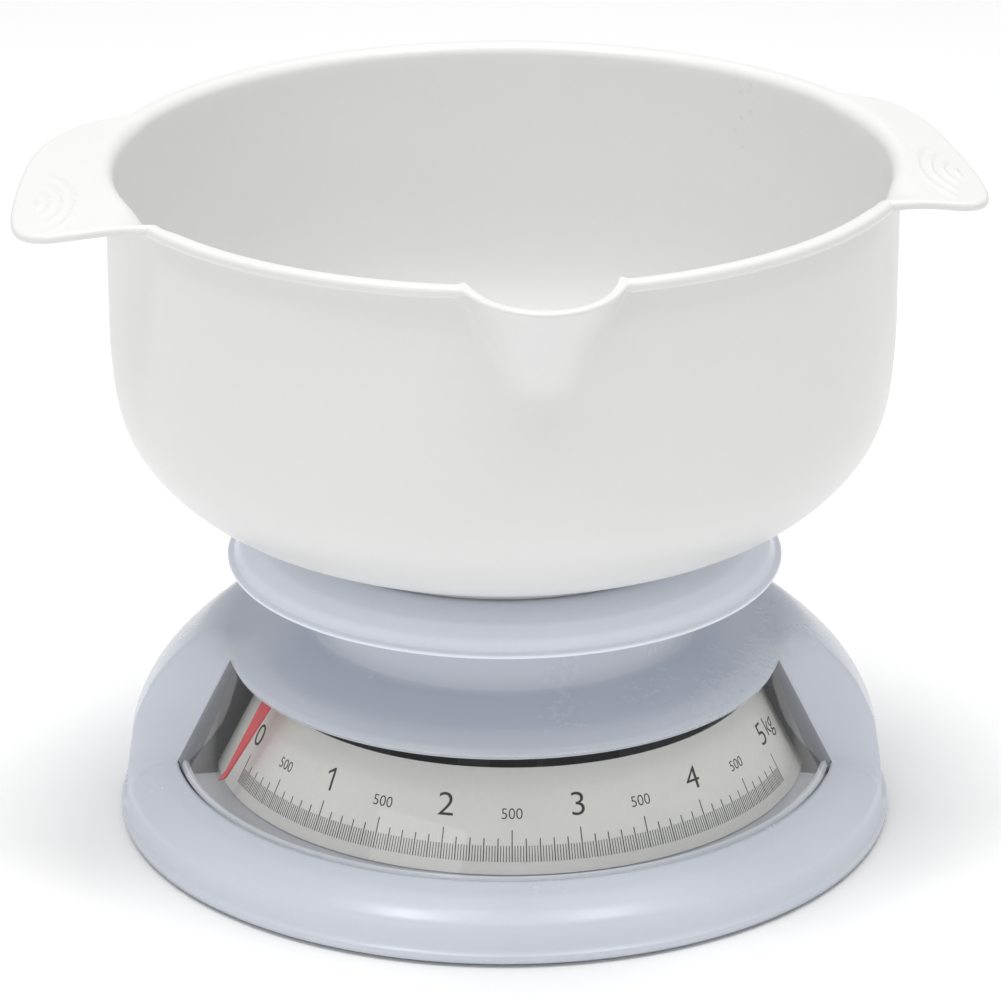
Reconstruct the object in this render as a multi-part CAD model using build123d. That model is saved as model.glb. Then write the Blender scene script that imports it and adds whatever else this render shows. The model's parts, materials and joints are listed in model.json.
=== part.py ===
from build123d import *
import os
from math import asin, atan, cos, degrees, pi, radians, sin, sqrt, tan

os.makedirs("parts", exist_ok=True)

# ---------------------------------------------------------------------------
# Kitchen scale. Millimetres. Origin: centre of the base, on the surface it
# stands on. The dial faces -Y, +X is to the right, +Z is up. "Azimuth" is
# measured from the front (-Y) towards the right (+X).
# ---------------------------------------------------------------------------

# Driving dimensions of the casing
FOOT_PROUD = 1.2                    # how far the rubber ring stands below the lip
BASE_R = 105.4                      # lip at the bottom of the housing
WALL = 2.4
COLLAR_R = 52.4
COLLAR_TOP = 66.0
WINDOW_BOTTOM = (90.5, 17.7)        # radius and height of the window's outer edge
WINDOW_TOP = (75.4, 46.7)           # and of its inner edge
WINDOW_HALF = 80.0                  # azimuth of the window's sides
LENS_T = 1.5
LENS_LEDGE = 1.2

# Dial
CARD_DEPTH = 10.3                   # from the window's outside down to the card
CARD_T = 0.5
CARD_HALF = 83.0
FLOOR_HALF = 79.0
CARD_BOTTOM = 1.9                   # along the slope, from the window's outer edge
CARD_TOP = 29.8
DIAL_SHIFT = 1.5                    # the loose dial insert sits a little to the right
POINTER_ZERO = -65.5                # azimuth of the pointer at no load
POINTER_SWEEP = 137.5               # degrees of the dial for the full 5 kg
POINTER_LIFT = 4.0                  # above the card
POINTER_Z = 42.7
POINTER_BEND = (0.4, 6.0)           # its two edges where it bends down, across it
POINTER_TIP = -3.4                  # its point, across it

# Mechanism
PINION_R = 3.5
PINION_TEETH = 14
TRAVEL = radians(POINTER_SWEEP) * PINION_R      # platform and rack move this far
LINK_LENGTH = 36.0
LINK_BACK_Y = 58.0                  # links turn in the chassis here
LINK_FRONT_Y = LINK_BACK_Y - LINK_LENGTH
UPPER_LINK_Z = 42.0
LOWER_LINK_Z = 15.0
LINK_TILT = degrees(asin(TRAVEL / 2 / LINK_LENGTH))
CRANK_ARM = 14.0
CRANK_Y = LINK_FRONT_Y + CRANK_ARM
CRANK_Z = 20.0
CRANK_TILT = degrees(atan(TRAVEL / 2 / CRANK_ARM))
RACK_Z = CRANK_Z + CRANK_ARM
PLATE_TOP = 5.0                     # top of the chassis plate
COVER_BOTTOM = 1.6
COVER_TOP = 3.6
SPRING_X = 27.5
SPRING_Y = 24.0
SPRING_TOP_Z = 44.0
SPRING_FOOT_Z = 20.0
KNOB_Y = 104.6                      # the zero knob's inner face
KNOB_Z = 20.0
ZERO_Y = 70.0                       # the zero lever's shaft
ZERO_Z = 42.0

# Tray and bowl
TRAY_R = 75.0
TRAY_RIM_Z = 73.2
TRAY_TOP = 82.0
BOWL_WALL = 2.3
BOWL_R = 104.4
RIM_R = 107.8
RIM_TOP = 185.9
RIM_T = 3.2
RIM_EDGE = 0.7
BOWL_UNDER = 83.6                   # the bowl's floor, outside and inside
BOWL_FLOOR = 86.0
SPOUT_REACH = 126.8
SPOUT_CENTRE = 97.0
SPOUT_HALF = 20.8                   # half its width at the rim, and at its foot
SPOUT_FOOT_HALF = 9.0
SPOUT_FOOT_Z = 160.0
BOWL_TURN = 5.5                     # the loose bowl stands turned a little
BOWL_SHIFT = -0.5


# ------------------------------------------------------------------ helpers
def export(shape, name):
    export_step(shape, f"parts/{name}.step")


def revolved(points, az0=0.0, az1=360.0):
    """Turn a closed outline of (radius, height) points from az0 to az1."""
    face = Plane.XZ * make_face(Polyline(*points, close=True))
    return Rot(0, 0, az0 - 90) * revolve(face, Axis.Z, az1 - az0)


def disc(radius, z0, z1, x=0.0, y=0.0):
    return Pos(x, y, z0) * Cylinder(radius, z1 - z0, align=(Align.CENTER, Align.CENTER, Align.MIN))


def block(x0, x1, y0, y1, z0, z1):
    size = (x1 - x0, y1 - y0, z1 - z0)
    return Pos((x0 + x1) / 2, (y0 + y1) / 2, (z0 + z1) / 2) * Box(*size)


def rod_x(radius, x0, x1, y, z):
    return Pos((x0 + x1) / 2, y, z) * Rot(0, 90, 0) * Cylinder(radius, abs(x1 - x0))


def rod_y(radius, y0, y1, x, z):
    return Pos(x, (y0 + y1) / 2, z) * Rot(90, 0, 0) * Cylinder(radius, abs(y1 - y0))


def polar(radius, azimuth):
    a = radians(azimuth)
    return radius * sin(a), -radius * cos(a)


# The window and everything behind it lie on parallel cones. A place there is
# its distance t up the slope and its depth below the window's outer face.
SLOPE = (WINDOW_TOP[0] - WINDOW_BOTTOM[0], WINDOW_TOP[1] - WINDOW_BOTTOM[1])
SLOPE_LENGTH = sqrt(SLOPE[0] ** 2 + SLOPE[1] ** 2)
UP = (SLOPE[0] / SLOPE_LENGTH, SLOPE[1] / SLOPE_LENGTH)


def on_cone(t, depth):
    radius = WINDOW_BOTTOM[0] + UP[0] * t - UP[1] * depth
    height = WINDOW_BOTTOM[1] + UP[1] * t + UP[0] * depth
    return radius, height


def cone_band(t0, t1, depth0, depth1, half):
    corners = [on_cone(t0, depth0), on_cone(t1, depth0), on_cone(t1, depth1), on_cone(t0, depth1)]
    return revolved(corners, -half, half)


# ------------------------------------------------------------------ housing
LIP = [(BASE_R, FOOT_PROUD), (BASE_R, 3.2), (103.95, 4.0)]
RING = [(103.9, 9.5), (103.2, 11.0), (101.0, 12.8), (96.0, 16.0), WINDOW_BOTTOM]
TOP_RING = [WINDOW_TOP, (68.5, 50.1), (COLLAR_R + 0.6, 53.9)]
HOOD = [(104.0, 7.2), (103.3, 11.6), (102.9, 15.9), (102.2, 20.3), (101.5, 24.7), (100.0, 29.0),
        (97.8, 33.4), (94.9, 37.7), (91.0, 42.1), (86.2, 46.5), (81.5, 50.8), (79.0, 51.6),
        (75.0, 51.0), (70.0, 50.2)]
COLLAR = [(COLLAR_R, 54.5), (COLLAR_R - 0.4, COLLAR_TOP - 1.0), (COLLAR_R - 1.4, COLLAR_TOP)]
HOOD_FOOT = (102.6, -9.0, 15.2)     # where the hood's end meets the front ring
HOOD_HEAD = (71.96, -2.5, 50.2)     # where it meets the top ring


def inset(points, by):
    """The same outline a wall's thickness in: each corner moves square to its two sides."""
    moved = []
    for before, here, after in zip(points, points[1:], points[2:]):
        dx, dz = after[0] - before[0], after[1] - before[1]
        length = sqrt(dx * dx + dz * dz)
        moved.append((here[0] - by * dz / length, here[1] + by * dx / length))
    return moved


def casing(outline, by):
    """Solid of revolution inside the outline, a distance "by" in from it."""
    if by == 0:
        return revolved([(0, FOOT_PROUD)] + outline + [(0, COLLAR_TOP)])
    inner = inset([(BASE_R, 0)] + outline[1:] + [(0, COLLAR_TOP)], by)
    inner = [point for point in inner if point[1] > COVER_TOP + 2]
    roof = COLLAR_TOP - by
    inner = [point for point in inner if point[1] < roof - 0.5]
    wall = COLLAR_R - by
    return revolved([(0, 0), (102.0, 0), (102.0, COVER_TOP + 1)] + inner + [(wall, roof), (0, roof)])


def beyond(a, b, c, back):
    """All space in front of the plane through three points, moved back by a distance."""
    normal = (Vector(*b) - Vector(*a)).cross(Vector(*c) - Vector(*a)).normalized()
    if normal.Y > 0:
        normal = -normal
    plane = Plane(origin=Vector(*a) - normal * back, x_dir=Vector(*b) - Vector(*a), z_dir=normal)
    return plane * Box(600, 600, 300, align=(Align.CENTER, Align.CENTER, Align.MIN))


def hood_front(back):
    """The space the hood leaves free at the front, cut by two flats at each end."""
    low = polar(WINDOW_BOTTOM[0], WINDOW_HALF) + (WINDOW_BOTTOM[1],)
    high = polar(WINDOW_TOP[0], WINDOW_HALF) + (WINDOW_TOP[1],)
    right = beyond(low, HOOD_FOOT, HOOD_HEAD, back) & beyond(low, high, HOOD_HEAD, back)
    right = right & block(0, 200, -200, 60, -10, 200)
    return right + mirror(right, Plane.YZ)


def shell_solid(by):
    front = casing(LIP + RING + TOP_RING + COLLAR, by)
    hood = casing(LIP + HOOD + [TOP_RING[2]] + COLLAR, by)
    return front + (hood - hood_front(by))


def housing():
    outer = shell_solid(0)
    shape = outer - shell_solid(WALL)
    reach = SLOPE_LENGTH + 3
    frame = revolved([on_cone(-1, 0.4), on_cone(reach, 0.4), on_cone(reach, 2.9), on_cone(-1, 2.9)],
                     -WINDOW_HALF - 3, WINDOW_HALF + 3)
    shape += frame & outer
    for side in (-1, 1):
        a0, a1 = sorted((side * WINDOW_HALF, side * (WINDOW_HALF + 1.6)))
        wall = [on_cone(1, 0.4), on_cone(SLOPE_LENGTH - 2, 0.4), on_cone(SLOPE_LENGTH - 2, 3), on_cone(1, 8)]
        shape += revolved(wall, a0, a1) & outer
    for azimuth in SCREW_AZIMUTHS:
        x, y = polar(SCREW_R, azimuth)
        shape += (disc(4.0, COVER_TOP, COLLAR_TOP, x, y) & outer) - disc(1.4, COVER_TOP - 1, 12.5, x, y)
    shape -= cone_band(0, SLOPE_LENGTH, -3, LENS_T, WINDOW_HALF)
    ledge_angle = degrees(LENS_LEDGE / 82)
    shape -= cone_band(LENS_LEDGE, SLOPE_LENGTH - LENS_LEDGE, 0, 8, WINDOW_HALF - ledge_angle)
    shape -= disc(9.0, COLLAR_TOP - 10, COLLAR_TOP + 5)
    shape -= rod_y(4.0, 90, 110, 0, KNOB_Z)
    return shape


SCREW_AZIMUTHS = (-45, 45, 135, -135)
SCREW_R = 96.0


def window_lens():
    gap = 0.05
    return cone_band(gap, SLOPE_LENGTH - gap, 0, LENS_T - gap, WINDOW_HALF - 0.05)


def dial_card():
    return Pos(DIAL_SHIFT, 0, 0) * cone_band(CARD_BOTTOM, CARD_TOP, CARD_DEPTH, CARD_DEPTH + CARD_T, CARD_HALF)


def dial_carrier():
    """Skirt standing on the base cover, a floor in front of the card and the cone behind it."""
    front = CARD_DEPTH + CARD_T
    back = front + 1.5
    floor_z = 14.2
    foot_r = on_cone(CARD_BOTTOM, back)[0]
    outline = [(foot_r, COVER_TOP), (foot_r + 2, COVER_TOP), (foot_r + 2, floor_z - 1.2),
               on_cone(CARD_BOTTOM, front), on_cone(CARD_TOP, front), on_cone(CARD_TOP, back),
               on_cone(CARD_BOTTOM, back)]
    floor = [(foot_r + 1, floor_z - 1.2), (88.4, floor_z - 1.2), (88.4, floor_z), (foot_r + 1, floor_z)]
    shape = revolved(outline, -CARD_HALF, CARD_HALF) + revolved(floor, -FLOOR_HALF, FLOOR_HALF)
    return Pos(DIAL_SHIFT, 0, 0) * shape


def base_cover():
    shape = disc(101.6, COVER_BOTTOM, COVER_TOP)
    for azimuth in SCREW_AZIMUTHS:
        x, y = polar(SCREW_R, azimuth)
        shape -= disc(1.6, 0, 5, x, y)
    for azimuth in PEG_AZIMUTHS:
        x, y = polar(PEG_CIRCLE_R, azimuth)
        shape -= disc(2.6, 0, 5, x, y)
    for x, y in CHASSIS_SCREWS:
        shape -= disc(1.6, 0, 5, x, y)
    return shape


PEG_AZIMUTHS = (-28, 28, 150, -150)
PEG_CIRCLE_R = 88.0
CHASSIS_SCREWS = [(-27, 40), (27, 40), (-27, 68), (27, 68)]


def foot_ring():
    """Rubber ring the scale stands on, held by four pegs pushed through the base cover."""
    shape = revolved([(84.0, 0), (91.6, 0), (92.4, 0.5), (92.4, COVER_BOTTOM), (83.2, COVER_BOTTOM), (83.2, 0.5)])
    for azimuth in PEG_AZIMUTHS:
        x, y = polar(PEG_CIRCLE_R, azimuth)
        shape += disc(2.5, COVER_BOTTOM, COVER_TOP, x, y) + disc(3.2, COVER_TOP, COVER_TOP + 0.9, x, y)
    return shape


def cross_screw(length, head_r=2.8, shank_r=1.3):
    """Pan-head screw, head below, standing on z = 0 at the head's seat."""
    head = revolved([(0, -0.9), (head_r - 0.6, -0.9), (head_r, -0.4), (head_r, 0), (0, 0)])
    shank = disc(shank_r, 0, length)
    slot = block(-1.6, 1.6, -0.3, 0.3, -1.0, -0.35) + block(-0.3, 0.3, -1.6, 1.6, -1.0, -0.35)
    return head + shank - slot


def cover_screws():
    return [Pos(*polar(SCREW_R, a), COVER_BOTTOM) * cross_screw(8.0) for a in SCREW_AZIMUTHS]


def chassis_screws():
    upside_down = Rot(180, 0, 0) * cross_screw(3.2)
    return [Pos(x, y, PLATE_TOP) * upside_down for x, y in CHASSIS_SCREWS]


# ------------------------------------------------------------------ chassis
EAR_IN = 20.0
EAR_OUT = 22.0


def chassis():
    """Folded steel base plate with two ears for the links and a lug for the crank."""
    plate = block(-32, 32, -18, 80, COVER_TOP, PLATE_TOP)
    plate -= block(-13, -4, -2, 18, 0, 10)
    shape = plate
    for side in (-1, 1):
        x0, x1 = sorted((side * EAR_IN, side * EAR_OUT))
        shape += block(x0, x1, 50, 76, PLATE_TOP - 0.5, 47)
    shape += block(-13.5, -11.5, 30, 42, PLATE_TOP - 0.5, CRANK_Z + 5)
    shape += block(-4, 4, 74.5, 76, PLATE_TOP - 0.5, 25) - rod_y(1.6, 70, 80, 0, KNOB_Z)
    for z in (UPPER_LINK_Z, LOWER_LINK_Z):
        shape -= rod_x(1.55, -30, 30, LINK_BACK_Y, z)
    shape -= rod_x(3.1, -30, 30, ZERO_Y, ZERO_Z)
    shape -= rod_x(1.55, -16, -9, CRANK_Y, CRANK_Z)
    for x, y in CHASSIS_SCREWS:
        shape -= disc(1.6, 0, 6, x, y)
    return shape


def overload_stop():
    """Two rubber pads that the carrier's feet meet at the end of the travel."""
    top = PLATE_TOP + 0.5
    return disc(4.0, PLATE_TOP, top, 24.0, 24.0) + disc(4.0, PLATE_TOP, top, -24.0, 24.0)


LOWER_BRIDGE_Z = 26.0
UPPER_BRIDGE_Z = 38.2
BRIDGE_T = 1.5


def arbor_bridge():
    """C-shaped bracket that carries the pointer's shaft above and below its pinion."""
    shape = block(9.0, 10.5, -8, 8, PLATE_TOP, UPPER_BRIDGE_Z + BRIDGE_T)
    shape += block(9.0, 18.0, -8, 8, PLATE_TOP, PLATE_TOP + BRIDGE_T)
    shape += block(-9.0, 10.5, -5, 5, LOWER_BRIDGE_Z, LOWER_BRIDGE_Z + BRIDGE_T)
    shape += block(-5.0, 10.5, -5, 5, UPPER_BRIDGE_Z, UPPER_BRIDGE_Z + BRIDGE_T)
    shape -= disc(2.05, LOWER_BRIDGE_Z - 1, UPPER_BRIDGE_Z + 5)
    return shape


def arbor_bush(z):
    """Flanged brass bush, flange on top of the bracket's plate."""
    top = z + BRIDGE_T
    return disc(2.0, z, top) + disc(3.0, top, top + 0.6) - disc(1.05, z - 1, top + 2)


def rack_guide():
    """Nylon channel that holds the rack in mesh."""
    low = RACK_Z - 3.4
    high = RACK_Z + 3.4
    shape = block(-9.0, -7.2, -4, 14, low, high)
    shape += block(-9.0, -4.8, -4, 14, low, RACK_Z - 1.65)
    shape += block(-9.0, -4.8, -4, 14, RACK_Z + 1.65, high)
    shape += block(-9.0, -5.5, -4, 4, LOWER_BRIDGE_Z + BRIDGE_T, low)
    return shape


def link_pivot_pin(z):
    pin = rod_x(1.5, -EAR_OUT - 1.0, EAR_OUT + 1.0, LINK_BACK_Y, z)
    for side in (-1, 1):
        pin += rod_x(2.2, side * (EAR_OUT + 0.1), side * (EAR_OUT + 1.0), LINK_BACK_Y, z)
    return pin


def crank_pivot_pin():
    return rod_x(1.5, -13.5, -6.8, CRANK_Y, CRANK_Z) + rod_x(2.2, -7.2, -6.4, CRANK_Y, CRANK_Z)


# -------------------------------------------------------- platform assembly
PLATE_IN = 14.0
PLATE_OUT = 16.0
CARRIER_TOP = 58.0


def tray():
    """Round tray: flat rim, domed top and a short socket for the post."""
    top = [(0, TRAY_TOP), (50, TRAY_TOP), (54, 81.8), (60, 81.1), (65, 80.0), (69, 78.5), (71.6, 76.8),
           (73.0, 75.0), (73.5, 74.5), (74.6, 74.3), (TRAY_R, 73.9), (TRAY_R, TRAY_RIM_Z)]
    under = [(71.4, TRAY_RIM_Z), (70.6, 75.2), (68.8, 76.7), (65, 78.0), (59.6, 79.0), (53.8, 79.7),
             (50, 79.8), (0, 79.8)]
    shape = revolved(top + under)
    shape += disc(11.0, 75.8, 80.5) - disc(7.6, 70, 79.8)
    for k in range(6):
        rib = block(10.5, 62, -0.8, 0.8, 77.2, 80.2)
        shape += Rot(0, 0, 60 * k + 30) * rib
    return shape - disc(2.1, 70, 90)


def platform_post():
    post = disc(7.5, CARRIER_TOP, 79.8) - disc(1.6, CARRIER_TOP - 1, 90)
    return post


def tray_screw():
    """Countersunk screw from the tray's top into the post."""
    head = revolved([(0, TRAY_TOP - 1.6), (1.5, TRAY_TOP - 1.6), (2.0, TRAY_TOP - 0.2), (0, TRAY_TOP - 0.2)])
    slot = block(-1.2, 1.2, -0.25, 0.25, TRAY_TOP - 0.7, TRAY_TOP)
    return head + disc(1.5, 64, TRAY_TOP - 1.6) - slot


def carrier():
    """Steel bracket under the post: top plate, two cheeks and a foot for the springs."""
    shape = block(-PLATE_OUT, PLATE_OUT, -9, 28, CARRIER_TOP - 2.0, CARRIER_TOP)
    for side in (-1, 1):
        x0, x1 = sorted((side * PLATE_IN, side * PLATE_OUT))
        shape += block(x0, x1, 17, 28, 14, CARRIER_TOP - 1)
        f0, f1 = sorted((side * PLATE_IN, side * 30.0))
        shape += block(f0, f1, 19, 28, 14, 16)
        t0, t1 = sorted((side * 23.4, side * 24.9))
        shape += block(t0, t1, 20, 28, 15, 23)
        shape += rod_x(1.0, side * 24, side * 29.8, SPRING_Y, SPRING_FOOT_Z)
        for z in (UPPER_LINK_Z, LOWER_LINK_Z):
            shape -= rod_x(1.55, side * 13, side * 17, LINK_FRONT_Y, z + TRAVEL / 2)
        shape -= rod_x(1.55, side * 13, side * 17, LINK_FRONT_Y, CRANK_Z + TRAVEL / 2)
    return shape


def link_pins(z):
    """A pair of shouldered studs, one in each cheek, for the front ends of a link."""
    pins = []
    for side in (-1, 1):
        pin = rod_x(1.5, side * PLATE_IN, side * 19.6, LINK_FRONT_Y, z + TRAVEL / 2)
        pins.append(pin)
    return pins


def drive_pin():
    return rod_x(1.5, -PLATE_OUT, PLATE_OUT, LINK_FRONT_Y, CRANK_Z + TRAVEL / 2)


def parallel_link(z):
    """Two side bars and a web; turns on its back pin and has slots at the front."""
    shape = None
    for side in (-1, 1):
        x0, x1 = sorted((side * 17.0, side * 19.0))
        bar = block(x0, x1, LINK_FRONT_Y - 3, LINK_BACK_Y + 3, z - 2.2, z + 2.2)
        shape = bar if shape is None else shape + bar
    shape += block(-19, 19, 45, 48, z - 2.2, z - 0.7)
    shape -= rod_x(1.55, -30, 30, LINK_BACK_Y, z)
    for side in (-1, 1):
        slot = block(min(side * 16, side * 20), max(side * 16, side * 20), LINK_FRONT_Y - 0.2,
                     LINK_FRONT_Y + 0.5, z - 1.6, z + 1.6)
        for dy in (-0.2, 0.5):
            slot += rod_x(1.6, side * 16, side * 20, LINK_FRONT_Y + dy, z)
        shape -= slot
    tilt = Pos(0, LINK_BACK_Y, z) * Rot(-LINK_TILT, 0, 0) * Pos(0, -LINK_BACK_Y, -z)
    return tilt * shape


def main_spring(side):
    """Close-wound extension spring with an eye at each end."""
    wire = 0.55
    coil_r = 2.6
    reach = 4.7                     # from an eye's centre to the first turn
    height = SPRING_TOP_Z - SPRING_FOOT_Z - 2 * reach
    path = Helix(pitch=height / 10, height=height, radius=coil_r, center=(0, 0, SPRING_FOOT_Z + reach))
    section = Plane(origin=path @ 0, z_dir=path % 0) * Circle(wire)
    whole = sweep(section, path=path, is_frenet=True)
    for z, inward in ((SPRING_TOP_Z, -1), (SPRING_FOOT_Z, 1)):
        whole += Pos(0, 0, z) * Rot(0, 90, 0) * Torus(1.9, wire)
        z0, z1 = sorted((z + inward * 1.9, z + inward * 3.7))
        whole += block(-0.45, 0.45, -0.45, 0.45, z0, z1)
        z0, z1 = sorted((z + inward * 2.9, z + inward * 3.7))
        whole += block(-0.45, coil_r + 0.4, -0.45, 0.45, z0, z1)
        z0, z1 = sorted((z + inward * 2.9, z + inward * (reach + 0.2)))
        whole += block(coil_r - 0.4, coil_r + 0.4, -0.45, 0.45, z0, z1)
    if side < 0:
        whole = mirror(whole, Plane.YZ)
    return Pos(side * SPRING_X, SPRING_Y, 0) * whole


# ------------------------------------------------------- crank, rack, arbor
def fork(length, width):
    """Open-ended fork along +Y from the pivot at the origin, for a 3 mm pin."""
    arm = block(-1.25, 1.25, 0, length + 3.2, -width / 2, width / 2)
    return arm - block(-3, 3, length - 2.0, length + 6, -1.62, 1.62)


def bell_crank():
    hub = rod_x(3.4, -1.25, 1.25, 0, 0)
    forward = Rot(0, 0, 180) * fork(CRANK_ARM, 6.4)
    upward = Rot(90, 0, 0) * fork(CRANK_ARM, 6.4)
    shape = hub + forward + upward - rod_x(1.55, -3, 3, 0, 0)
    return Pos(-8.6, CRANK_Y, CRANK_Z) * Rot(-CRANK_TILT, 0, 0) * shape


RACK_PITCH = pi * 2 * PINION_R / PINION_TEETH
RACK_REAR_Y = CRANK_Y + TRAVEL / 2


def rack():
    """Bar with straight-flanked teeth facing +X, meshing with the pinion at y = 0."""
    root_x = -PINION_R - 0.52
    tip_x = -PINION_R + 0.36
    flank = tan(radians(20))
    half = RACK_PITCH / 4 - 0.06
    z0, z1 = RACK_Z - 1.5, RACK_Z + 1.5
    bar = block(-7.0, root_x, -8, RACK_REAR_Y + 3, z0, z1)
    for k in range(-3, 10):
        y = k * RACK_PITCH
        wide = half + flank * (-PINION_R - root_x)
        slim = half - flank * (tip_x + PINION_R)
        outline = [(root_x - 0.2, y - wide), (root_x, y - wide), (tip_x, y - slim), (tip_x, y + slim),
                   (root_x, y + wide), (root_x - 0.2, y + wide)]
        tooth = extrude(Pos(0, 0, z0) * make_face(Polyline(*outline, close=True)), z1 - z0)
        bar += tooth
    return bar - rod_x(1.0, -7.5, -3, RACK_REAR_Y, RACK_Z)


def rack_pin():
    """Round pin on the rack's rear end that the crank's upper fork pushes."""
    return rod_x(1.5, -10.2, -7.0, RACK_REAR_Y, RACK_Z) + rod_x(1.0, -7.0, -4.4, RACK_REAR_Y, RACK_Z)


def pinion():
    """Involute pinion, turned so that a gap faces the rack."""
    pressure = radians(20)
    base_r = PINION_R * cos(pressure)
    outer_r = PINION_R + 0.4
    root_r = PINION_R - 0.5
    half = pi / 2 / PINION_TEETH - 0.06 / PINION_R + tan(pressure) - pressure
    points = []
    for k in range(PINION_TEETH):
        centre = 2 * pi * (k + 0.5) / PINION_TEETH
        flank = []
        for r in [root_r] + [base_r + (outer_r - base_r) * i / 5 for i in range(6)]:
            roll = sqrt(max((r / base_r) ** 2 - 1, 0))
            flank.append((r, half - (roll - atan(roll))))
        for r, a in flank:
            points.append((r * cos(centre - a), r * sin(centre - a)))
        for r, a in reversed(flank):
            points.append((r * cos(centre + a), r * sin(centre + a)))
    face = Pos(0, 0, RACK_Z - 2.0) * make_face(Polyline(*points, close=True))
    return extrude(face, 4.0) - disc(1.2, 0, 60)


def pointer_arbor():
    return disc(1.0, LOWER_BRIDGE_Z - 0.8, POINTER_Z + 2.2) + disc(1.2, RACK_Z - 2.0, RACK_Z + 2.0)


def pointer_hub():
    return disc(4.0, POINTER_Z - 1.6, POINTER_Z) + disc(2.2, POINTER_Z, POINTER_Z + 1.8) - disc(1.0, 30, 60)


def at_pointer(shape):
    """Turn a shape made along +X to the pointer's place at no load."""
    return Rot(0, 0, POINTER_ZERO - 90) * shape


def pointer():
    """Flat wedge: an arm over the card's top, bent down along the card to a point."""
    thick = 0.6
    left, right = POINTER_BEND
    depth = CARD_DEPTH - POINTER_LIFT
    top_t = (POINTER_Z - on_cone(0, depth)[1]) / UP[1]
    bend_r = on_cone(top_t, depth)[0]
    arm = Pos(0, 0, POINTER_Z) * extrude(make_face(Polyline(
        (-6, -2), (2, -2.4), (bend_r, left), (bend_r, right), (2, 2.4), (-6, 2), close=True)), thick)
    tip_t = CARD_BOTTOM + 2.7
    length = top_t - tip_t
    leg_plane = Plane(origin=(bend_r, 0, POINTER_Z), x_dir=(-UP[0], 0, -UP[1]), z_dir=(UP[1], 0, -UP[0]))
    leg = extrude(leg_plane * make_face(Polyline(
        (-0.6, left), (0.86 * length, -1.7), (length, POINTER_TIP), (0.93 * length, -0.6), (-0.6, right),
        close=True)), thick)
    return at_pointer(arm + leg - disc(2.2, 30, 60))


def counterweight():
    """Small brass weight behind the shaft that balances the pointer."""
    weight = block(-13, -6.2, -3.5, 3.5, POINTER_Z - 1.6, POINTER_Z + 2.0)
    return at_pointer(weight & disc(13.0, 30, 60))


# ---------------------------------------------------------- zero adjustment
def zero_knob():
    """Ribbed hand knob at the back of the housing."""
    knob = rod_y(8.0, KNOB_Y, KNOB_Y + 5.8, 0, KNOB_Z) - rod_y(6.0, KNOB_Y + 4.8, 120, 0, KNOB_Z)
    knob += rod_y(3.2, KNOB_Y, KNOB_Y + 5.4, 0, KNOB_Z)
    for k in range(24):
        a = 2 * pi * k / 24
        knob -= rod_y(0.6, KNOB_Y + 0.8, 120, 8.2 * cos(a), KNOB_Z + 8.2 * sin(a))
    return knob - rod_y(1.5, 100, KNOB_Y + 4.4, 0, KNOB_Z)


def zero_screw():
    """Spindle from the knob to the chassis, grooved along its working length."""
    shape = rod_y(1.5, 74.0, KNOB_Y + 4.4, 0, KNOB_Z) + rod_y(2.4, 62.0, 74.3, 0, KNOB_Z)
    for k in range(10):
        y = 63.0 + 1.05 * k
        shape -= rod_y(2.8, y, y + 0.4, 0, KNOB_Z) - rod_y(2.1, y, y + 0.4, 0, KNOB_Z)
    return shape


def zero_bush():
    """Plastic bush in the housing's back wall."""
    shape = rod_y(3.9, 99.0, 103.4, 0, KNOB_Z) + rod_y(5.6, 103.4, KNOB_Y - 0.2, 0, KNOB_Z)
    return shape - rod_y(1.56, 90, 110, 0, KNOB_Z)


def zero_nut():
    """Square nut on the spindle with a groove for the lever's tip."""
    body = block(-4, 4, 67.0, 73.0, KNOB_Z - 4, KNOB_Z + 5)
    return body - rod_y(2.5, 60, 80, 0, KNOB_Z) - block(-5, 5, ZERO_Y - 1.6, ZERO_Y + 1.6, KNOB_Z + 2.8, KNOB_Z + 8)


def zero_lever():
    """Cross tube, an arm down to the nut and two arms forward to the springs."""
    tube = rod_x(3.0, -24.9, 24.9, ZERO_Y, ZERO_Z)
    down = block(-1.5, 1.5, ZERO_Y - 1.2, ZERO_Y + 1.2, KNOB_Z + 4.2, ZERO_Z)
    down += rod_x(1.5, -1.5, 1.5, ZERO_Y, KNOB_Z + 4.6)
    shape = tube + down
    for side in (-1, 1):
        x0, x1 = sorted((side * 23.4, side * 24.9))
        shape += block(x0, x1, SPRING_Y - 3, ZERO_Y, ZERO_Z - 2.0, ZERO_Z + 4.0)
        shape += rod_x(1.0, side * 24, side * 29.8, SPRING_Y, SPRING_TOP_Z)
    return shape


# --------------------------------------------------------------------- bowl
OUTER_CURVE = [(57.6, 84.9), (69.2, 88.4), (83.5, 95.2), (95.0, 105.2), (101.8, 117.2), (104.4, 134.0)]
INNER_CURVE = [(57.0, 87.3), (68.2, 90.5), (82.0, 97.1), (93.0, 106.6), (99.6, 118.2), (102.1, 134.0)]
BOWL_FOOT = [(0, BOWL_UNDER), (52.0, BOWL_UNDER), (53.2, TRAY_TOP), (56.0, TRAY_TOP), (57.0, 83.0)]


def bowl_body():
    low = Polyline(*BOWL_FOOT, OUTER_CURVE[0])
    curve = Spline(*OUTER_CURVE)
    rim = Polyline(OUTER_CURVE[-1], (BOWL_R, RIM_TOP - RIM_T), (RIM_R, RIM_TOP - RIM_T),
                   (RIM_R, RIM_TOP - RIM_EDGE), (RIM_R - RIM_EDGE, RIM_TOP), (0, RIM_TOP))
    wall = Line((0, RIM_TOP), (0, BOWL_UNDER))
    return revolve(Plane.XZ * make_face(low + curve + rim + wall), Axis.Z, 360)


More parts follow.
